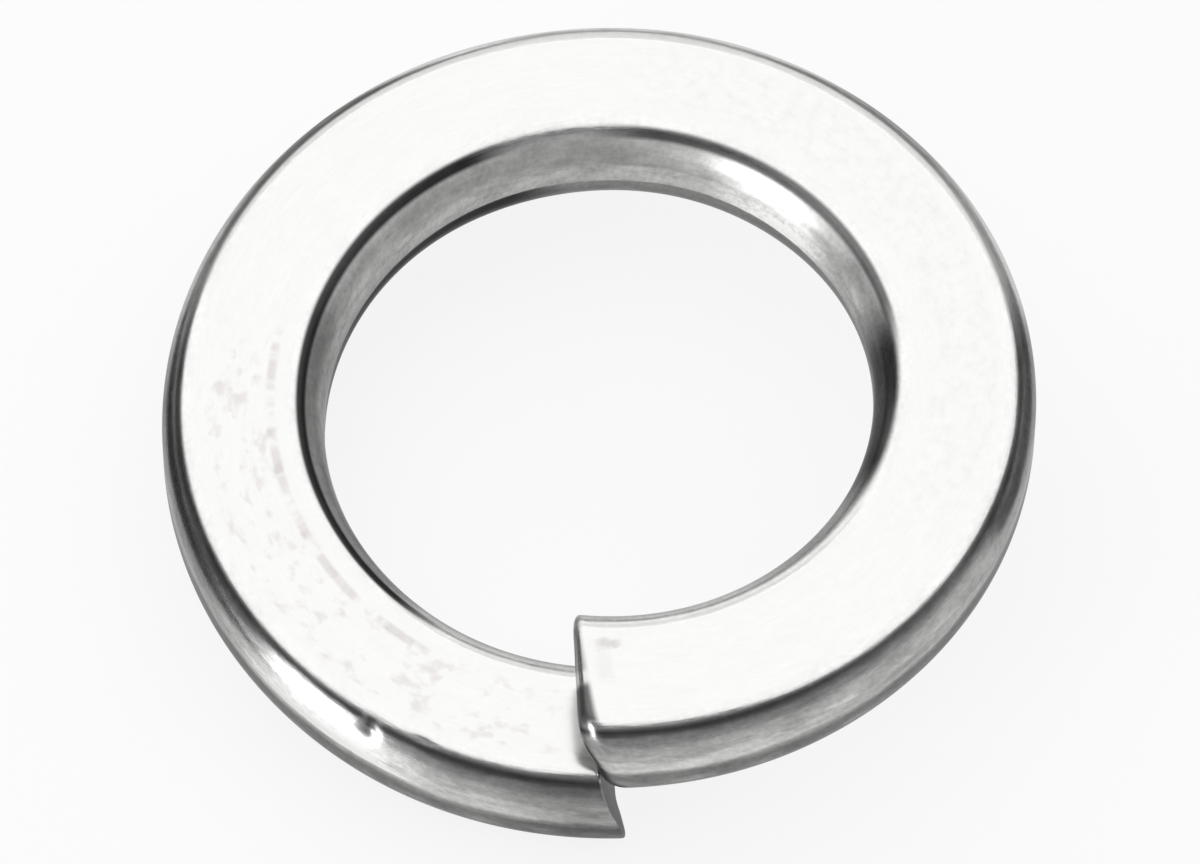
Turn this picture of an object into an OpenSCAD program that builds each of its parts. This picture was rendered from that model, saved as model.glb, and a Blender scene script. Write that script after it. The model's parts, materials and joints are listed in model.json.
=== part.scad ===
// Spring lock washer: one steel bar with rounded edges, wound into a single turn of a
// helix and cut off at a slant, so that each end keeps one sharp edge that bites.
// The bore axis is +Z, the lower end stands at z = 0 and the split looks towards -Y.
// Seen from above, the bar climbs clockwise from the split, as under a right-hand nut.

/* [Bar] */
// Diameter of the bore
bore_d = 16.4; // [12:0.1:27]
// Width of the bar, from the bore wall to the outer wall
bar_w = 4.9; // [2.5:0.1:8]
// Thickness of the bar, from its lower face to its upper face
bar_t = 3.7; // [1.6:0.1:6]
// Radius along the four long edges of the bar
edge_r = 1.35; // [0.2:0.05:2.5]

/* [Helix] */
// Height that the bar climbs in one turn
rise = 3.2; // [0.6:0.1:7]

/* [Split] */
// Gap between the two cut ends, measured square to the cut
split_gap = 0.12; // [0.08:0.01:1.5]
// Lean of the cut from upright, the low end's foot reaching forward under the high end
cut_lean = 12; // [0:1:25]
// Turn of the cut in plan, from the radius, its outer end towards the high end
cut_turn = 4; // [0:1:12]

/* [Fineness] */
// Sections along the bar
sections = 90; // [48:1:120]
// Flats that stand for each rounded edge
edge_flats = 5; // [3:1:7]

/* [Hidden] */
$fn = 96;

split_at = -90;
bore_r = bore_d / 2;
outer_r = bore_r + bar_w;
mid_r = bore_r + bar_w / 2;
free_h = bar_t + rise;

// A rounded edge leaves at least this much of the wall and of the face beside it
least_land = 0.1;
corner_r = min(edge_r, bar_t / 2 - least_land, bar_w / 2 - least_land);
flat_turn = 90 / (edge_flats + 1);

// How far a cutting solid reaches past what it cuts
clear = 1;

// Centre of the rounding in the upper outer quarter of the section
corner_x = bar_w / 2 - corner_r;
corner_z = bar_t / 2 - corner_r;

// Where flat i of the rounded edge meets the next one, each flat touching the same circle
function flats_meet(i) =
    let (reach = corner_r / cos(flat_turn / 2), turn = 90 - (i + 0.5) * flat_turn)
    [corner_x + reach * cos(turn), corner_z + reach * sin(turn)];

// The last flat crosses the wall and runs on to a ridge at half the bar's height, so the
// section is a little wider than the bar until the round walls trim it
wall_meet = flats_meet(edge_flats);
ridge = [wall_meet[0] + wall_meet[1] * tan(flat_turn), 0];

// Section of the bar before its walls are trimmed, as [across, up] from its centre
edge = [for (i = [0:edge_flats - 1]) flats_meet(i)];
lower_edge = [for (i = [edge_flats - 1:-1:0]) [edge[i][0], -edge[i][1]]];
outer_side = concat(edge, [ridge], lower_edge);
section = concat(outer_side, -outer_side);

// Angle by which the leaning, turned cut leads the split, at radius r and height z
function cut_angle(r, z) =
    let (lead = (free_h / 2 - z) * tan(cut_lean) - mid_r * sin(cut_turn))
    cut_turn + asin(lead / r);

// The bar ends inside the gap, halfway between the cut's middle plane and the end face
end_inset = split_gap / 4;
end_share = end_inset / (2 * PI * mid_r);

// Point p of the section, carried the given share of a turn clockwise from the low end
function bar_point(p, share) =
    let (
        r = mid_r + p[0],
        z = bar_t / 2 + p[1] + rise * share,
        a = split_at + cut_angle(r, z) - 360 * share
    )
    [r * cos(a), r * sin(a), z];

// Helical bar: the same section at even steps round the turn, each leaning as the cut does
module helical_bar() {
    n = len(section);
    shares = [for (i = [0:sections]) end_share + (1 - 2 * end_share) * i / sections];
    points = [for (s = shares, p = section) bar_point(p, s)];
    sides = [
        for (i = [0:sections - 1], j = [0:n - 1])
        let (k = (j + 1) % n, here = i * n, next = here + n)
        each [[here + j, here + k, next + k], [here + j, next + k, next + j]]
    ];
    low_end = [for (j = [n - 1:-1:0]) j];
    high_end = [for (j = [0:n - 1]) sections * n + j];
    polyhedron(points, concat(sides, [low_end, high_end]), convexity = 6);
}

// Thin slab that parts the two ends along the leaning, turned cut
module split_cut() {
    slab_w = bar_w / cos(cut_turn) + 2 * clear;
    slab_h = (free_h + 2 * clear) / cos(cut_lean);
    translate([0, -mid_r, free_h / 2])
        rotate([0, -cut_lean, cut_turn])
            cube([split_gap, slab_w, slab_h], center = true);
}

module washer_body() {
    color("silver")
        difference() {
            intersection() {
                helical_bar();
                translate([0, 0, -clear])
                    cylinder(r = outer_r, h = free_h + 2 * clear);
            }
            translate([0, 0, -clear])
                cylinder(r = bore_r, h = free_h + 2 * clear);
            split_cut();
        }
}

washer_body();
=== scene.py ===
import json

import bpy
import numpy as np
from mathutils import Matrix, Vector


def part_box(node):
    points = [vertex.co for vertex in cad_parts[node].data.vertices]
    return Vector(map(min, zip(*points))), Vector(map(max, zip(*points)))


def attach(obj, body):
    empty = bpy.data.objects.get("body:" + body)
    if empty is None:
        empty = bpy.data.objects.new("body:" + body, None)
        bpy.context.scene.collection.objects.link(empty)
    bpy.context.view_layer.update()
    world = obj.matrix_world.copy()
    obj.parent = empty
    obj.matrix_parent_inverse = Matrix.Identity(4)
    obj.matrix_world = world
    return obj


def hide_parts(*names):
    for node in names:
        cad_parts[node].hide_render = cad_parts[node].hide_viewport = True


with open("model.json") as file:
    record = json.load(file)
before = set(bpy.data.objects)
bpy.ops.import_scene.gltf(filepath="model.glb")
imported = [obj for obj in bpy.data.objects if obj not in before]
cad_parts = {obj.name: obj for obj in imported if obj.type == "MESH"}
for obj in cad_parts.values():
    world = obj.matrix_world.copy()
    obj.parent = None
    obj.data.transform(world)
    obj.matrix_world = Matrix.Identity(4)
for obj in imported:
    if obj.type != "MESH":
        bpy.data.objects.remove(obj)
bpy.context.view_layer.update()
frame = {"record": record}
print("frame loaded")

mm = 0.001
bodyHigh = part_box("washer_body")[1]
boreRadius = frame["record"]["mounts"][0]["dims"]["r_mm"]
outerRadius = bodyHigh.x / mm
freeHeight = bodyHigh.z / mm


class Wire:
    # One output of a node; expressions on wires add their own Math nodes

    def __init__(self, tree, socket=None):
        self.tree = tree
        self.socket = socket

    def add(self, kind, settings=None, sockets=None, out=0):
        # Adds any node: its settings come first, then the values or links of its sockets
        made = self.tree.nodes.new(kind)
        for name, value in (settings or {}).items():
            if name == "stops":
                self.setStops(made.color_ramp, value)
            else:
                setattr(made, name, value)
        for name, value in (sockets or {}).items():
            if isinstance(value, Wire):
                self.tree.links.new(value.socket, made.inputs[name])
            else:
                made.inputs[name].default_value = value
        return Wire(self.tree, made.outputs[out] if len(made.outputs) else None)

    def setStops(self, ramp, stops):
        while len(ramp.elements) > 1:
            ramp.elements.remove(ramp.elements[-1])
        for i, (place, shade) in enumerate(stops):
            stop = ramp.elements[0] if i == 0 else ramp.elements.new(place)
            stop.position = place
            stop.color = (shade, shade, shade, 1)

    def maths(self, operation, first, second, clamp=False):
        return self.add("ShaderNodeMath", {"operation": operation, "use_clamp": clamp},
                        {0: first, 1: second})

    def __add__(self, other):
        return self.maths("ADD", self, other)

    def __sub__(self, other):
        return self.maths("SUBTRACT", self, other)

    def __rsub__(self, other):
        return self.maths("SUBTRACT", other, self)

    def __mul__(self, other):
        return self.maths("MULTIPLY", self, other)

    __radd__ = __add__
    __rmul__ = __mul__

    def clamped(self):
        return self.maths("ADD", self, 0.0, clamp=True)

    def largest(self, other):
        return self.maths("MAXIMUM", self, other)

    def step(self, low, high):
        # Eases from 0 at low to 1 at high; low may be the larger one
        return self.add("ShaderNodeMapRange", {"interpolation_type": "SMOOTHSTEP"},
                        {"Value": self, "From Min": low, "From Max": high})

    def between(self, low, high, soft):
        # 1 between low and high, easing to 0 over soft outside them
        return self.step(low - soft, low) * self.step(high + soft, high)

    def noise(self, scale, stretch=(1, 1, 1), detail=3.0, roughness=0.55):
        # Noise round 0.5; a stretch under 1 draws it out along that direction
        spot = self.add("ShaderNodeVectorMath", {"operation": "MULTIPLY"}, {0: self, 1: stretch})
        return spot.add("ShaderNodeTexNoise", None,
                        {"Vector": spot, "Scale": scale, "Detail": detail, "Roughness": roughness})

    def parts(self):
        # The three numbers of a vector
        first = self.add("ShaderNodeSeparateXYZ", None, {0: self})
        return [Wire(self.tree, output) for output in first.socket.node.outputs]


def newMaterial(name):
    # A material with an empty node tree, and a wire to start from
    material = bpy.data.materials.new(name)
    material.use_nodes = True
    material.node_tree.nodes.clear()
    return material, Wire(material.node_tree)


def meshObject(name, points, faces, material, attributes=None):
    # points: n x 3 in metres; faces: a list of index arrays, one row per face
    mesh = bpy.data.meshes.new(name)
    corners = np.concatenate([rows.ravel() for rows in faces])
    sides = np.concatenate([np.full(len(rows), rows.shape[1]) for rows in faces])
    starts = np.concatenate([[0], np.cumsum(sides)[:-1]])
    mesh.vertices.add(len(points))
    mesh.vertices.foreach_set("co", points.astype(np.float32).ravel())
    mesh.loops.add(len(corners))
    mesh.loops.foreach_set("vertex_index", corners.astype(np.int32))
    mesh.polygons.add(len(sides))
    mesh.polygons.foreach_set("loop_start", starts.astype(np.int32))
    mesh.polygons.foreach_set("use_smooth", np.ones(len(sides), bool))
    mesh.update(calc_edges=True)
    mesh.validate()
    for key, values in (attributes or {}).items():
        vector = values.ndim == 2
        layer = mesh.attributes.new(key, "FLOAT_VECTOR" if vector else "FLOAT", "POINT")
        layer.data.foreach_set("vector" if vector else "value", values.astype(np.float32).ravel())
    mesh.materials.append(material)
    made = bpy.data.objects.new(name, mesh)
    bpy.context.scene.collection.objects.link(made)
    return made


def gridFaces(rows, columns, closed):
    # Quads of a rows x columns grid of points; closed joins the last column to the first
    row, column = np.meshgrid(np.arange(rows - 1), np.arange(columns - (not closed)), indexing="ij")
    here = (row * columns + column).ravel()
    side = (row * columns + (column + 1) % columns).ravel()
    return np.stack([here, side, side + columns, here + columns], 1)


bar = {
    "thickness": 3.7,
    # Half width and half height of the rounding along each of the four edges; both edges of the
    # bore widen from the split to the far side of the turn, the lower one a little later
    "upperOuter": (1.36, 1.45),
    "lowerOuter": (1.25, 1.25),
    "upperBoreSplit": (1.38, 1.45),
    "upperBoreFar": (1.78, 1.88),
    "lowerBoreSplit": (1.2, 1.2),
    "lowerBoreFar": (1.35, 1.8),
    "lowerBoreShift": 0.1,  # as a share of the turn
    "splitAt": -90.0,
    "splitGap": 0.12,
    "cutLean": 16.3,  # of the cut from upright
    "cutTurn": 1.0,  # of the cut in plan, from the radius
    "footTwist": 0.26,  # how fast the foot of the low end draws back behind its outer corner
    "footReach": 1.5,  # how far across the bar it does
    "burrHeight": 0.04,  # of the burr on the upper face of the low end
    "burrReach": 0.9,
    # Points along each straight run and each rounding of the section
    "facePoints": 22,
    "wallPoints": 6,
    "edgePoints": 24,
    # Spacing of the stations along the plain bar, at a cut end and at the first knock, and how
    # far along the bar the last two reach
    "spacing": 0.17,
    "endSpacing": 0.03,
    "endSpacingReach": 0.8,
    "knockSpacing": 0.035,
    "knockSpacingReach": 0.5,
    "spacingSteps": 20000,
    # Slow waves of the rolled surface: the least and the greatest half height and length along
    # the bar, and the number that the whole waves round the section stay under
    "waves": 7,
    "waveSeed": 16,
    "waveHeights": (0.0012, 0.004),
    "waveLengths": (3.5, 16.0),
    "wavesAround": 4,
    # Size of a cut face's first ring, the second and the last, as shares of the section
    "capRings": 10,
    "capSizes": (0.985, 0.95, 0.12),
    "capRoughness": 0.035,
    "capBand": 2.5,
    "sharpAngle": 28.0,
}
# How far each cut end is rolled over. On the upper and the lower face: at the bore, at the outer
# wall, and the power of the way across that leads from one to the other. Then on the two walls.
endRolls = {
    "low": {"upper": (0.05, 0.08, 1), "lower": (0.95, 0.38, 5), "outer": 0.05, "bore": 0.1},
    "high": {"upper": (0.6, 1.0, 1), "lower": (0.06, 0.06, 1), "outer": 0.85, "bore": 0.12},
}
# Knocks on the upper outer edge: place along the bar from the low end, angle of the surface from
# level, depth (a raised one is negative), half length and half width
knocks = [
    {"along": 6.0, "tilt": 52.0, "depth": 0.08, "halfLength": 0.2, "halfWidth": 0.2},
    {"along": 4.56, "tilt": 30.0, "depth": 0.02, "halfLength": 0.3, "halfWidth": 0.14},
    {"along": 66.3, "tilt": 46.0, "depth": -0.025, "halfLength": 0.22, "halfWidth": 0.25},
]
# Torn surface of a cut face, as products of two sines: size, then for each sine how fast it goes
# across and up, and where it starts
tears = [
    (1.0, (5.1, 2.3, 0.0), (-1.1, 3.7, 0.0)),
    (0.6, (11.3, 0.0, 0.7), (0.0, 1.9, 0.4)),
]
barWidth = outerRadius - boreRadius
midRadius = (outerRadius + boreRadius) / 2
rise = freeHeight - bar["thickness"]
barLength = 2 * np.pi * midRadius


def barSections(upperBore, lowerBore):
    # Outlines of the bar, a row for each station. Each is four times a straight run and then a
    # quarter of an ellipse, from the lower face's bore side round the outer wall:
    # centre + half width * cos across, centre + half height * sin up.
    # Gives across, up, the angle that each point faces, and its band: 0.5 on the upper face, 1 to
    # 2 round the upper edge, 2 to 3 on the wall, 3 to 4 round the lower edge, 4.5 on the lower face.
    stations = len(upperBore)
    half = np.array([barWidth, bar["thickness"]]) / 2
    arc = np.radians(np.linspace(0, 90, bar["edgePoints"] + 1)[:-1])
    face = np.linspace(0, 1, bar["facePoints"] + 1)[:-1]
    wall = np.linspace(0, 1, bar["wallPoints"] + 1)[:-1]
    # The side of each edge, its roundings, the steps of the run before it, and its bands: from
    # and to along the run, then from and to round the edge
    quarters = [
        ((1, -1), np.tile(bar["lowerOuter"], (stations, 1)), face, (4.5, 4.5, 4, 3)),
        ((1, 1), np.tile(bar["upperOuter"], (stations, 1)), wall, (3, 2, 2, 1)),
        ((-1, 1), upperBore, face, (0.5, 0.5, 1, 2)),
        ((-1, -1), lowerBore, wall, (2, 3, 3, 4)),
    ]
    across, up, facing, band = [], [], [], []
    for i, (side, rounding, steps, bands) in enumerate(quarters):
        first = np.radians(90 * i - 90)
        firstWay = np.array([np.cos(first), np.sin(first)])
        centre = (half - rounding) * side
        lastSide, lastRounding = quarters[i - 1][:2]
        start = (half - lastRounding) * lastSide + lastRounding * firstWay
        end = centre + rounding * firstWay
        angle = first + arc
        wide, high = rounding[:, :1], rounding[:, 1:]
        run = start[:, None] + (end - start)[:, None] * steps[:, None]
        across += [run[..., 0], centre[:, :1] + wide * np.cos(angle)]
        up += [run[..., 1], centre[:, 1:] + high * np.sin(angle)]
        facing += [np.full(run.shape[:2], first),
                   np.unwrap(np.arctan2(np.sin(angle) / high, np.cos(angle) / wide), axis=1)]
        band += [bands[0] + (bands[1] - bands[0]) * steps,
                 bands[2] + (bands[3] - bands[2]) * arc / np.radians(90)]
    across, up, facing = (np.concatenate(part, axis=1) for part in (across, up, facing))
    return across, up, facing, np.concatenate(band)


def roundedEdge(name, share):
    # One bore edge at each share of the turn: split + (far - split) (0.5 - 0.5 cos(360 share))
    split, far = np.array(bar[name + "Split"]), np.array(bar[name + "Far"])
    return split + (far - split) * (0.5 - 0.5 * np.cos(2 * np.pi * share))[:, None]


def stationShares():
    # The spacing shrinks towards both cut ends and round the first knock; the running sum of
    # 1 / spacing, cut into equal steps, gives the stations as shares of the turn
    share = np.linspace(0, 1, bar["spacingSteps"] + 1)
    along = share * barLength
    toEnd = np.minimum(along, barLength - along)
    nearEnd = np.exp(-(toEnd / bar["endSpacingReach"]) ** 4)
    nearKnock = np.exp(-((along - knocks[0]["along"]) / bar["knockSpacingReach"]) ** 4)
    spacing = (bar["spacing"] - (bar["spacing"] - bar["endSpacing"]) * nearEnd
               - (bar["spacing"] - bar["knockSpacing"]) * nearKnock)
    running = np.concatenate([[0], np.cumsum(1 / spacing[1:])]) * barLength / bar["spacingSteps"]
    return np.interp(np.linspace(0, running[-1], int(running[-1]) + 2), running, share)


def windBar(share, across, up, inset):
    # Helix: angle = split + lead of the leaning, turned cut at this radius and height
    # - 360 share; height = half thickness + up + rise share. The lead runs from one side of the
    # split gap to the other, and inset moves it further into the bar at an end. Below half the
    # free height it falls off behind the outer corner: - twist * lowness * way in from the wall.
    lean, turn = np.radians(bar["cutLean"]), np.radians(bar["cutTurn"])
    radius = midRadius + across
    height = bar["thickness"] / 2 + up + rise * share
    halfGap = bar["splitGap"] / 2 / np.cos(lean)
    lead = (freeHeight / 2 - height) * np.tan(lean) - midRadius * np.sin(turn)
    lowness = np.clip(1 - 2 * height / freeHeight, 0, 1)
    lead = lead - bar["footTwist"] * lowness * np.minimum(barWidth / 2 - across, bar["footReach"])
    lead = lead + (2 * share - 1) * (halfGap + inset)
    angle = np.radians(bar["splitAt"]) + turn + np.arcsin(lead / radius) - 2 * np.pi * share
    return np.stack([radius * np.cos(angle), radius * np.sin(angle), height], -1) * mm


def slowWaves(along, girth, girthLength):
    # Each wave's depth: half height * (1 + sin(360 (along / length + whole waves round) + phase))
    rng = np.random.default_rng(bar["waveSeed"])
    depth = 0
    for wave in range(bar["waves"]):
        length = rng.uniform(*bar["waveLengths"])
        around = rng.integers(0, bar["wavesAround"])
        phase = rng.uniform(0, 2 * np.pi)
        height = rng.uniform(*bar["waveHeights"])
        swing = np.sin(2 * np.pi * (along / length + around * girth / girthLength) + phase)
        depth = depth + height * (1 + swing)
    return depth


def knockDepth(along, girth, across, facing):
    # A rounded dent for each knock, on the upper outer edge of the first station's outline:
    # depth * exp(-(way along / half length)^2 - (way round the section / half width)^2)
    upperOuter = (facing >= 0) & (facing <= np.pi / 2) & (across > 0)
    depth = 0
    for knock in knocks:
        target = np.radians(90 - knock["tilt"])
        place = np.argmin(np.where(upperOuter, np.abs(facing - target), np.inf))
        reach = (((along - knock["along"]) / knock["halfLength"]) ** 2
                 + ((girth - girth[place]) / knock["halfWidth"]) ** 2)
        depth = depth + knock["depth"] * np.exp(-reach)
    return depth


def rollRadius(roll, across, facing):
    # Each side's own radius, shared out by the squares of the sine and cosine of the angle that
    # the point faces; on a face it is bore's + (outer wall's - bore's) * way across ^ power
    outward, upward = np.cos(facing), np.sin(facing)
    way = np.clip(across / barWidth + 0.5, 0, 1)
    upper, lower = (atBore + (atOuter - atBore) * way ** power
                    for atBore, atOuter, power in (roll["upper"], roll["lower"]))
    return (upper * np.maximum(upward, 0) ** 2 + lower * np.maximum(-upward, 0) ** 2
            + roll["outer"] * np.maximum(outward, 0) ** 2
            + roll["bore"] * np.maximum(-outward, 0) ** 2)


def rollDepth(distance, radius):
    # A quarter circle: radius - sqrt(radius^2 - (radius - distance)^2) within radius of the end
    short = np.maximum(radius - distance, 0)
    return radius - np.sqrt(np.maximum(radius ** 2 - short ** 2, 0))


def cutRings(rimAcross, rimUp):
    # A cut face's rings shrink from its rim to the middle of the section, and each point's inset
    # is roughness (0.5 + 0.3 torn) (1 - shrink^12), so that the outermost ring hardly has one
    outermost, second, innermost = bar["capSizes"]
    shrink = np.append(outermost, np.linspace(second, innermost, bar["capRings"] - 1))[:, None]
    across, up = shrink * rimAcross, shrink * rimUp
    torn = 0
    for size, *sines in tears:
        one, other = (np.sin(byAcross * across + byUp * up + start) for byAcross, byUp, start in sines)
        torn = torn + size * one * other
    return across, up, bar["capRoughness"] * (0.5 + 0.3 * torn) * (1 - shrink ** 12)


def cutFaces(rim, first):
    # Quads from the rim inwards, ring by ring, then a fan to the middle point, which comes last
    columns = len(rim)
    rings = np.vstack([rim, first + np.arange(bar["capRings"] * columns).reshape(-1, columns)])
    following = np.roll(rings, -1, axis=1)
    quads = np.stack([rings[:-1], following[:-1], following[1:], rings[1:]], -1).reshape(-1, 4)
    middle = np.full(columns, first + bar["capRings"] * columns)
    return quads, np.stack([rings[-1], following[-1], middle], -1)


def barPart(share, across, up, inset, band, cutFace):
    # Wound points of one stretch of surface, with what the steel reads from each of them
    share, across, up, inset, band = np.broadcast_arrays(share, across, up, inset, band)
    return {"points": windBar(share, across, up, inset).reshape(-1, 3),
            "barPlace": np.stack([share * barLength, across, up], -1).reshape(-1, 3),
            "band": band.ravel(), "cutFace": np.full(band.size, cutFace)}


def buildWasher(material):
    share = stationShares()
    along = share[:, None] * barLength
    across, up, facing, band = barSections(roundedEdge("upperBore", share),
                                           roundedEdge("lowerBore", share - bar["lowerBoreShift"]))
    # The way round the section, as measured at the first station
    around = np.hypot(np.roll(across[0], -1) - across[0], np.roll(up[0], -1) - up[0])
    girth = np.append(0, np.cumsum(around)[:-1])
    # A low burr lifts the upper face of the low end: height * exp(-(along / reach)^2)
    burr = bar["burrHeight"] * np.exp(-(along / bar["burrReach"]) ** 2)
    depth = (slowWaves(along, girth, around.sum())
             + knockDepth(along, girth, across[0], facing[0])
             - burr * np.maximum(np.sin(facing), 0) ** 2
             + rollDepth(along, rollRadius(endRolls["low"], across, facing))
             + rollDepth(barLength - along, rollRadius(endRolls["high"], across, facing)))
    across = across - depth * np.cos(facing)
    up = up - depth * np.sin(facing)
    parts = [barPart(share[:, None], across, up, 0, band, 0)]
    faces = [gridFaces(len(share), len(band), True)]
    for row in (0, len(share) - 1):
        first = sum(len(part["points"]) for part in parts)
        ringAcross, ringUp, inset = cutRings(across[row], up[row])
        # The rings bulge into the gap by their inset, and the middle point is pressed in as far
        middle = np.zeros(1)
        parts += [barPart(share[row], ringAcross, ringUp, -inset, bar["capBand"], 1),
                  barPart(share[row], middle, middle, inset[-1].mean(), bar["capBand"], 1)]
        quads, fan = cutFaces(row * len(band) + np.arange(len(band)), first)
        faces += [quads, fan] if row else [quads[:, ::-1], fan[:, ::-1]]
    surface = {key: np.concatenate([part[key] for part in parts]) for key in parts[0]}
    washer = meshObject("lock_washer", surface.pop("points"), faces, material, surface)
    washer.data.set_sharp_from_angle(angle=np.radians(bar["sharpAngle"]))
    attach(washer, "root")
    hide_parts("washer_body")
    print("washer wound,", len(washer.data.polygons), "faces")


steel = {
    # Tone over the bands of the section, from the upper face down each side: 0.74 is the steel's own
    # tone, and the darker and lighter stops round the edges and down the walls are painted reflections
    # and highlights of the dim room and the floor, with painted shade along the foot
    "outerTones": [(0.0, 0.74), (1.34, 0.74), (1.40, 0.16), (1.45, 0.19), (1.52, 0.36), (1.68, 0.39),
                   (1.84, 0.44), (1.94, 0.58), (2.3, 0.66), (2.5, 0.34), (2.7, 0.2), (2.95, 0.22),
                   (3.3, 0.4), (4.1, 0.6)],
    "boreTones": [(0.0, 0.74), (1.30, 0.74), (1.42, 0.80), (1.52, 0.66), (1.6, 0.62), (1.68, 0.55),
                  (1.78, 0.42), (1.9, 0.5), (2.3, 0.46), (2.8, 0.34), (3.05, 0.24), (3.2, 0.22),
                  (3.45, 0.34), (3.8, 0.74)],
    "rampBands": 5,  # bands that a whole colour ramp covers
    "sideEase": 0.3,  # half the width over which the outer side passes into the bore's
    # The cut faces: the high end's a mid grey, the low end's much darker, painted shade under the
    # overhanging high end
    "lowCutTone": 0.18,
    "highCutTone": 0.6,
    "blue": 0.99,  # blue as a share of the tone
    "brownGreen": 0.035,  # what a brown mark takes off green and blue
    "brownBlue": 0.03,
    "faceRoughness": 0.15,
    "wallRoughness": 0.26,
    "tornRoughness": 0.2,  # added on the cut faces and the sheared corner
    "grazingTint": 0.58,  # how much of the glancing reflection is left
    "lineDepth": 0.004,  # of the drawn lines, in mm
    "dimpleDepth": 0.016,  # of the walls' shallow dimples, in mm
    "bumpStrength": 0.5,
    # From, to and softness, over the bands, of the walls and of the borders that wander
    "wallBands": (1.6, 3.4, 0.5),
    "wanderBands": (1.75, 3.4, 0.4),
    "faceBands": (1.2, 0.95),  # where the upper face's marks set in and are full
    "cutToneAlong": (3.0, 0.0),  # where the high end's cut tone passes into the low end's
}
# The grain: lines drawn along the bar, broad soft streaks, blotches of rolling scale, mottling
grains = {
    "lines": {"scale": 16.0, "stretch": (0.1, 1, 1)},
    "streaks": {"scale": 2.4, "stretch": (0.3, 1, 1)},
    "blotches": {"scale": 1.6, "stretch": (0.4, 1, 1), "detail": 4.0, "roughness": 0.6},
    "mottle": {"scale": 5.0, "roughness": 0.6},
}
# How much each changes the tone, everywhere and on the walls as well, the borders of the bands,
# and the roughness
toneGrains = {"blotches": (0.06, 0.7), "mottle": (0.04, 0.6), "lines": (0.06, 0.25)}
borderGrains = {"streaks": 0.5, "blotches": 0.4}
roughnessGrains = {"blotches": 0.08, "lines": 0.06}
# Painted reflections, highlights and shade: patches where the tone is darkened or lightened to draw the
# dark lines and bright blobs that the edges mirror, a dark spot at the first knock, and shade along the
# foot; from, to and softness along the bar and over the bands
paintedLightPatches = [
    {"side": "outer", "along": (30, 46, 3), "band": (1.42, 1.8, 0.05), "gain": 2.0},
    {"side": "outer", "along": (20, 29, 3), "band": (1.42, 1.8, 0.05), "gain": 0.8},
    {"side": "outer", "along": (49, 55, 3), "band": (1.38, 1.42, 0.04), "gain": 0.6},
    {"side": "outer", "along": (52, 60, 3), "band": (1.95, 2.6, 0.12), "gain": -0.15},
    {"side": "outer", "along": (12, 20, 3), "band": (1.8, 2.5, 0.12), "gain": -0.2},
    {"side": "outer", "along": (7, 8.2, 3), "band": (1.7, 2.2, 0.12), "gain": 1.1},
    {"side": "outer", "along": (5.95, 6.05, 0.2), "band": (1.38, 1.48, 0.06), "gain": -0.75},
    {"side": "outer", "along": (-1, 0.5, 3), "band": (1.5, 3.5, 0.12), "gain": -0.4},
    {"side": "bore", "along": (8, 28, 3), "band": (1.34, 1.42, 0.06), "gain": -0.93},
    {"side": "bore", "along": (9, 19, 3), "band": (1.44, 1.6, 0.2), "gain": -0.5},
    {"side": "bore", "along": (-1, 7, 3), "band": (1.38, 1.75, 0.06), "gain": -0.1},
    {"side": "bore", "along": (-1, 10, 3), "band": (1.31, 1.34, 0.04), "gain": 0.2},
    {"side": "bore", "along": (56, 68, 3), "band": (1.31, 1.34, 0.04), "gain": 0.2},
    {"side": "bore", "along": (35, 46, 3), "band": (1.34, 1.41, 0.06), "gain": -0.8},
    {"side": "bore", "along": (39, 42, 3), "band": (1.42, 1.55, 0.1), "gain": 0.4},
    {"side": "bore", "along": (40, 41.5, 3), "band": (1.75, 2.6, 0.15), "gain": 1.0},
    {"side": "bore", "along": (48.5, 53, 3), "band": (1.42, 2.9, 0.12), "gain": -0.87},
    {"side": "bore", "along": (54, 58, 3), "band": (1.42, 3.4, 0.12), "gain": -0.35},
    {"side": "bore", "along": (11, 19, 3), "band": (1.65, 2.6, 0.15), "gain": -0.25},
    {"side": "bore", "along": (22, 33, 3), "band": (1.6, 2.3, 0.15), "gain": -0.15},
    {"side": "bore", "along": (17, 30, 3), "band": (2.5, 3.7, 0.2), "gain": -0.88},
]
# Duller steel, given alike: at the first knock, and on the upper bore edge of the far side
dullPatches = [
    {"side": "outer", "along": (5.85, 6.15, 0.3), "band": (1.35, 1.65, 0.15), "gain": 0.1},
    {"side": "bore", "along": (9, 46, 3), "band": (1.42, 1.7, 0.08), "gain": 0.15},
]
# The high end's sheared corner is dull, and darkened with painted shade, a dark reflection painted on
# its rolled edge; it is wider towards the outer wall
shear = {
    "reach": 0.50,  # along the bar at the middle of its width
    "widening": 0.09,  # of the reach, for each mm outwards
    "softness": (0.13, -0.1),  # where it sets in and is full, beyond the reach and within it
    "bands": (1.75, 1.35),  # the same over the bands
    "boreEase": (-2.3, -1.8),  # across, where it sets in beside the bore
    "outerEase": (-0.4, 0.5),  # across, where it passes from its inner strength to full strength
    "innerStrength": 0.55,
    "bareAcross": (0.05, 0.2, 0.3),  # a stretch that is nearly left out
    "bareness": 0.8,
    "dark": 0.8,
    "glint": {"side": "outer", "along": (66.15, 66.45, 0.15), "band": (1.3, 1.53, 0.1)},
    # Painted shade along the cut's rim on the outer wall
    "rim": {"side": "outer", "along": (barLength - 0.15, barLength + 1, 0.25),
            "band": (1.85, 3.2, 0.25)},
    "rimDark": 0.6,
}
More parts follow.
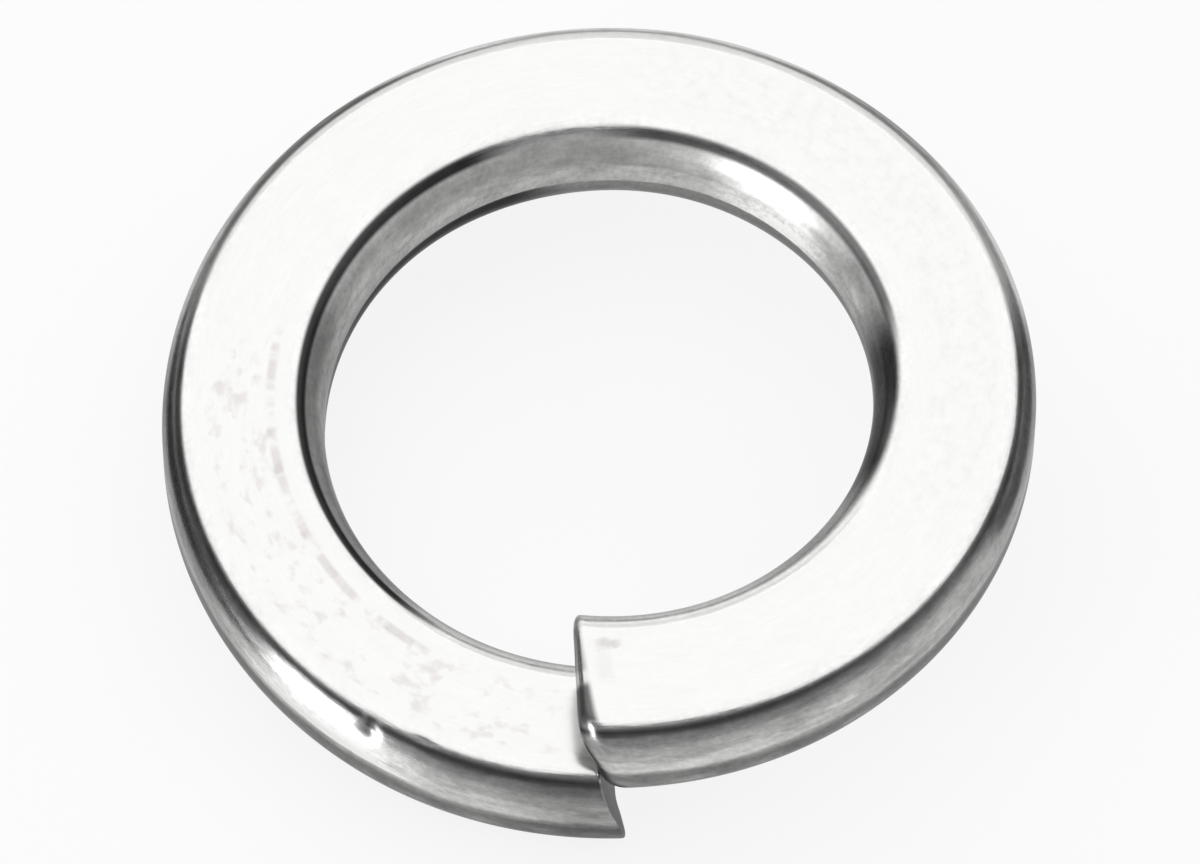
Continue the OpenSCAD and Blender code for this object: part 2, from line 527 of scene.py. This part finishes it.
# Marks on the upper face: from, to and softness along the bar and across it, and how dark. Some are
# brownish. Some are broken up by noise, which sets in between two values, or wander across. The last is
# painted light.
faceMarks = {
    "specks": {"along": (2.5, 17.0, 2.5), "across": (-0.7, 1.1, 0.5), "dark": 0.13, "brown": True,
               "noise": {"scale": 2.4, "stretch": (0.7, 1, 1), "detail": 2.0, "roughness": 0.5},
               "setsIn": (0.5, 0.75)},
    "scoredLine": {"along": (6.0, 18.0, 1.5), "across": (-0.90, -0.78, 0.14), "dark": 0.17,
                   "brown": True, "noise": {"scale": 1.3, "stretch": (1, 0.1, 0.1), "detail": 2.0},
                   "setsIn": (0.36, 0.58)},
    "farMottling": {"along": (36.0, 53.0, 3.0), "across": (-0.6, 1.4, 0.4), "dark": 0.05,
                    "noise": {"scale": 2.6, "roughness": 0.6}, "setsIn": (0.4, 0.75)},
    "smudge": {"along": (65.5, 65.8, 0.4), "across": (-1.02, -0.9, 0.2), "dark": 0.2,
               "brown": True, "wander": 0.4},
    "trail": {"along": (65.75, 65.95, 0.25), "across": (-0.5, 0.1, 0.4), "dark": 0.05},
    "innerTick": {"along": (-0.1, 0.3, 0.25), "across": (0.38, 0.48, 0.12), "dark": 0.3},
    "outerTick": {"along": (-0.1, 0.3, 0.25), "across": (1.22, 1.32, 0.1), "dark": 0.3},
    # Painted light: the upper face beside the low end's cut is lightened a little, against the high
    # end's shade mirrored there
    "burnish": {"along": (-1.0, 0.6, 1.0), "across": (-2.5, 2.5, 0.5), "dark": -0.03},
}


def readSurface(wire):
    # What the steel reads from the mesh. Outer and bore are each 1 on their own half of the bar,
    # and the grains lie round 0.
    place = wire.add("ShaderNodeAttribute", {"attribute_name": "barPlace"}, out="Vector")
    band = wire.add("ShaderNodeAttribute", {"attribute_name": "band"}, out="Fac")
    along, across = place.parts()[:2]
    outer = across.step(-steel["sideEase"], steel["sideEase"])
    at = {"place": place, "along": along, "across": across, "band": band, "outer": outer,
          "bore": 1 - outer, "wall": band.between(*steel["wallBands"]),
          "cutFace": wire.add("ShaderNodeAttribute", {"attribute_name": "cutFace"}, out="Fac")}
    at.update({name: place.noise(**grain) - 0.5 for name, grain in grains.items()})
    return at


def spread(at, patch):
    # 1 on a patch, easing to 0 round it
    return (at["along"].between(*patch["along"]) * at["band"].between(*patch["band"])
            * at[patch["side"]])


def toneWithPaintedReflections(at):
    # The section's tones, with painted reflections and shade over the bands and borders that wander,
    # then the grain, the painted patches and the cut faces
    wander = sum(at[name] * much for name, much in borderGrains.items())
    section = at["band"] + wander * at["band"].between(*steel["wanderBands"])
    section = section * (1 / steel["rampBands"])
    outerPaintedTone, borePaintedTone = (
        section.add("ShaderNodeValToRGB", {"stops": [(band / steel["rampBands"], tone)
                                                     for band, tone in steel[key]]}, {0: section})
        for key in ("outerTones", "boreTones"))
    tone = outerPaintedTone * at["outer"] + borePaintedTone * at["bore"]
    tone = tone * (1 + sum(at[name] * (everywhere + onWall * at["wall"])
                           for name, (everywhere, onWall) in toneGrains.items()))
    for patch in paintedLightPatches:
        tone = tone * (1 + spread(at, patch) * patch["gain"])
    # The cut faces take their own tones; the low end's dark one is painted shade
    cutToneAndShade = (steel["highCutTone"]
               + (steel["lowCutTone"] - steel["highCutTone"]) * at["along"].step(*steel["cutToneAlong"]))
    return tone * (1 - at["cutFace"]) + at["cutFace"] * cutToneAndShade


def shearedCornerDullAndShade(at):
    # 1 on the high end's sheared corner, which is duller and carries painted shade; the glint on the
    # outer edge is left out of it
    across, toEnd = at["across"], barLength - at["along"]
    shearDullAndShade = (toEnd - across * shear["widening"] - shear["reach"]).step(*shear["softness"])
    shearDullAndShade = shearDullAndShade * at["band"].step(*shear["bands"]) * across.step(*shear["boreEase"])
    shearDullAndShade = shearDullAndShade * (1 - spread(at, shear["glint"]))
    shearDullAndShade = shearDullAndShade * (1 - across.between(*shear["bareAcross"]) * shear["bareness"])
    inner = shear["innerStrength"]
    return shearDullAndShade * (inner + (1 - inner) * across.step(*shear["outerEase"]))


def markedFace(at):
    # How much all marks of the upper face darken it, and how brown they make it; the painted light
    # beside the low end's cut lightens it a little
    dark, brown = 0, 0
    for mark in faceMarks.values():
        across = at["across"] + at["mottle"] * mark["wander"] if "wander" in mark else at["across"]
        shown = at["along"].between(*mark["along"]) * across.between(*mark["across"])
        if "noise" in mark:
            shown = shown * at["place"].noise(**mark["noise"]).step(*mark["setsIn"])
        dark = dark + shown * mark["dark"]
        brown = brown + shown if "brown" in mark else brown
    upperFace = at["band"].step(*steel["faceBands"])
    return dark * upperFace, brown * upperFace


def springSteel():
    material, wire = newMaterial("springSteel")
    at = readSurface(wire)
    shearDullAndShade = shearedCornerDullAndShade(at)
    dark, brown = markedFace(at)
    # Painted shade darkens the sheared corner and the cut's rim
    tone = toneWithPaintedReflections(at) * (1 - shear["dark"] * shearDullAndShade)
    tone = tone * (1 - shear["rimDark"] * spread(at, shear["rim"]))
    tone = (tone * (1 - dark)).clamped()
    colour = wire.add("ShaderNodeCombineColor", None,
                      {0: tone, 1: tone * (1 - steel["brownGreen"] * brown),
                       2: tone * (steel["blue"] - steel["brownBlue"] * brown)})
    roughness = (steel["faceRoughness"]
                 + (steel["wallRoughness"] - steel["faceRoughness"]) * at["wall"]
                 + (at["cutFace"] + shearDullAndShade) * steel["tornRoughness"]
                 + sum(at[name] * much for name, much in roughnessGrains.items())
                 + sum(spread(at, patch) * patch["gain"] for patch in dullPatches))
    # Two grains make the dimples, whose depth goes from 0 to twice the value
    dimples = (at["streaks"] + at["blotches"] + 1) * steel["dimpleDepth"] * at["wall"]
    height = (at["lines"] * steel["lineDepth"] + dimples) * mm
    bump = wire.add("ShaderNodeBump", None,
                    {"Strength": steel["bumpStrength"], "Distance": 1.0, "Height": height})
    shader = wire.add("ShaderNodeBsdfPrincipled", None,
                      {"Base Color": colour, "Metallic": 1.0, "Roughness": roughness,
                       "Specular Tint": (steel["grazingTint"],) * 3 + (1,), "Normal": bump})
    wire.add("ShaderNodeOutputMaterial", None, {"Surface": shader})
    print("steel mixed")
    return material


buildWasher(springSteel())


studio = {
    "floorTone": 0.97,
    "floorBlue": 0.998,  # blue as a share of the tone
    "floorHalf": 4.0,
    "floorDrop": 0.00002,  # below the washer's lowest point
    "shadowThinning": 0.86,
    "backdropAt": 1.4,
    "backdropHalf": 1.5,
    "backdropBend": 0.3,
    "backdropHeight": 0.64,
    "backdropLift": 0.0005,  # above the floor
    "bendPoints": 25,
    "gridPoints": 9,
    # The room is dim, and mid grey low in front of the washer, a little turned to one side
    "roomTone": 0.13,
    "frontTone": 0.5,
    "frontTurn": 0.4,
    "frontEdge": (-0.2, -0.6),
    "frontTop": (0.7, 0.4),
    "cardHeight": 0.0001,
}
# Softboxes: radiance 1 is white
softboxes = {
    "overheadSoftbox": {"centre": (0, 1.33, 0.6), "facing": (0, 0, -1), "size": (3.44, 3.3),
                        "radiance": 1.17, "shape": "ELLIPSE"},
    "sideSoftbox": {"centre": (-0.424, -0.262, 0.112), "facing": (0.424, 0.262, -0.07),
                    "size": (0.135, 0.21), "radiance": 10.0, "shape": "RECTANGLE"},
}
# Three panels that lie on the floor and carry the side light on to the wall's foot: distance from
# the washer, and size
bounce = {
    "panels": {"bounceNear": (0.0544, (0.010, 0.060)), "bounceMiddle": (0.118, (0.075, 0.085)),
               "bounceFar": (0.33, (0.078, 0.24))},
    "direction": (-0.825, -0.564),
    "turn": -60.0,
    "height": 0.0002,
    "radiance": 4.0,
}
# Cards beside the washer, out of the picture, that glow at their own tone and are hidden from all but
# the steel's mirroring rays: painted reflections of a dark or grey surround for the round edges. From
# and to in x and in y, and tone
cards = {
    "darkCardLeft": {"x": (-0.3, -0.0175), "y": (-0.018, 0.0135), "tone": 0.03},
    "darkCardRight": {"x": (0.019, 0.3), "y": (-0.004, 0.024), "tone": 0.15},
    "greyCardLeft": {"x": (-0.2, -0.009), "y": (0.0135, 0.2), "tone": 0.4},
    "greyCardRight": {"x": (0.009, 0.2), "y": (0.0245, 0.2), "tone": 0.45},
    "greyCardCorner": {"x": (0.009, 0.019), "y": (0.0135, 0.0245), "tone": 0.45},
}


def paleFloor():
    material, wire = newMaterial("paleFloor")
    tone = studio["floorTone"]
    colour = (tone, tone, tone * studio["floorBlue"], 1)
    lit = wire.add("ShaderNodeBsdfDiffuse", None, {"Color": colour})
    glow = wire.add("ShaderNodeEmission", None, {"Color": colour, "Strength": 1.0})
    # The washer's shadow is thinned, alike for the camera and for what the steel mirrors
    camera, glossy, through = (wire.add("ShaderNodeLightPath", out=name) for name in
                               ("Is Camera Ray", "Is Glossy Ray", "Is Transmission Ray"))
    thinned = camera.largest(glossy).largest(through) * studio["shadowThinning"]
    shader = wire.add("ShaderNodeMixShader", None, {0: thinned, 1: lit, 2: glow})
    wire.add("ShaderNodeOutputMaterial", None, {"Surface": shader})
    return material


def stageSheet(name, width, y, z, material):
    # A surface on a grid, the same profile of y and z from one x to the other, facing up
    x = np.linspace(*width, studio["gridPoints"])
    grid = np.stack(np.broadcast_arrays(x[:, None], y, z), -1)
    faces = gridFaces(len(x), len(y), False)[:, ::-1]
    sheet = meshObject(name, grid.reshape(-1, 3), [faces], material)
    return sheet


def buildFloor(material):
    # A level floor, and behind it a backdrop whose profile is a quarter circle and an upright
    half, wide, bend = studio["floorHalf"], studio["backdropHalf"], studio["backdropBend"]
    stageSheet("floor", (-half, half), np.linspace(-half, half, studio["gridPoints"]),
               -studio["floorDrop"], material)
    arc = np.radians(np.linspace(0, 90, studio["bendPoints"]))
    start = studio["backdropAt"] - bend
    y = np.append(start + bend * np.sin(arc), start + bend)
    z = np.append(bend * (1 - np.cos(arc)), studio["backdropHeight"]) + studio["backdropLift"]
    stageSheet("backdrop", (-wide, wide), y, z, material)


def addSoftbox(name, centre, facing, size, radiance, shape="RECTANGLE"):
    # A rectangle or an ellipse of even light; power = radiance * pi * area
    light = bpy.data.lights.new(name, "AREA")
    light.shape = shape
    light.size, light.size_y = size
    area = size[0] * size[1] * (1 if shape == "RECTANGLE" else np.pi / 4)
    light.energy = radiance * np.pi * area
    lamp = bpy.data.objects.new(name, light)
    lamp.location = centre
    lamp.rotation_euler = Vector(facing).to_track_quat("-Z", "Y").to_euler()
    bpy.context.scene.collection.objects.link(lamp)
    return lamp


def layPanels():
    for name, (distance, size) in bounce["panels"].items():
        centre = (*(part * distance for part in bounce["direction"]), bounce["height"])
        panel = addSoftbox(name, centre, (0, 0, 1), size, bounce["radiance"])
        panel.rotation_euler = (np.pi, 0, np.radians(bounce["turn"]))
        panel.visible_camera = False


def layCard(name, x, y, tone):
    material, wire = newMaterial(name)
    cardGlow = wire.add("ShaderNodeEmission", None, {"Color": (tone, tone, tone, 1), "Strength": 1.0})
    wire.add("ShaderNodeOutputMaterial", None, {"Surface": cardGlow})
    card = stageSheet(name, x, np.linspace(*y, studio["gridPoints"]), studio["cardHeight"], material)
    card.visible_camera = False
    card.visible_diffuse = False
    card.visible_shadow = False


def dimRoom():
    world = bpy.data.worlds.new("dimRoom")
    world.use_nodes = True
    world.node_tree.nodes.clear()
    wire = Wire(world.node_tree)
    x, y, z = wire.add("ShaderNodeTexCoord", out="Generated").parts()
    front = (y - x * studio["frontTurn"]).step(*studio["frontEdge"]) * z.step(*studio["frontTop"])
    tone = studio["roomTone"] + front * (studio["frontTone"] - studio["roomTone"])
    grey = wire.add("ShaderNodeCombineColor", None, {0: tone, 1: tone, 2: tone})
    back = wire.add("ShaderNodeBackground", None, {"Color": grey, "Strength": 1.0})
    wire.add("ShaderNodeOutputWorld", None, {"Surface": back})
    bpy.context.scene.world = world


buildFloor(paleFloor())
dimRoom()
for name, box in softboxes.items():
    addSoftbox(name, **box)
layPanels()
for name, card in cards.items():
    layCard(name, **card)
print("studio lit")


# The camera, fitted to the ring's outline in the photograph
view = {
    "azimuth": -0.5,
    "elevation": 60.2,
    "distance": 0.3526,
    "focal": 353.1,
    "sensorWidth": 36,
    "clip": (0.01, 20),
    "roll": 0.1,
    "picture": (1200, 864),
    "target": (0, 0, 0.00345),
    "targetPixel": (598.4, 413.8),  # where the target lies in the picture
    "pixelsPerMetre": 33380,
}


def placeCamera():
    azimuth, elevation = np.radians(view["azimuth"]), np.radians(view["elevation"])
    back = Vector((np.sin(azimuth) * np.cos(elevation), -np.cos(azimuth) * np.cos(elevation),
                   np.sin(elevation)))
    data = bpy.data.cameras.new("camera")
    data.sensor_width = view["sensorWidth"]
    data.lens = view["focal"]
    data.clip_start, data.clip_end = view["clip"]
    roll = Matrix.Rotation(np.radians(view["roll"]), 3, "Z")
    turn = back.to_track_quat("Z", "Y").to_matrix() @ roll
    # The aim is moved in the picture plane, so that the target falls on its pixel with no shift
    aimRight = (view["picture"][0] / 2 - view["targetPixel"][0]) / view["pixelsPerMetre"]
    aimUp = (view["targetPixel"][1] - view["picture"][1] / 2) / view["pixelsPerMetre"]
    aim = Vector(view["target"]) + turn @ Vector((aimRight, aimUp, 0))
    camera = bpy.data.objects.new("camera", data)
    camera.matrix_world = Matrix.Translation(aim + back * view["distance"]) @ turn.to_4x4()
    bpy.context.scene.collection.objects.link(camera)
    bpy.context.scene.camera = camera


placeCamera()
bpy.context.scene.view_settings.view_transform = "Standard"
print("camera placed")
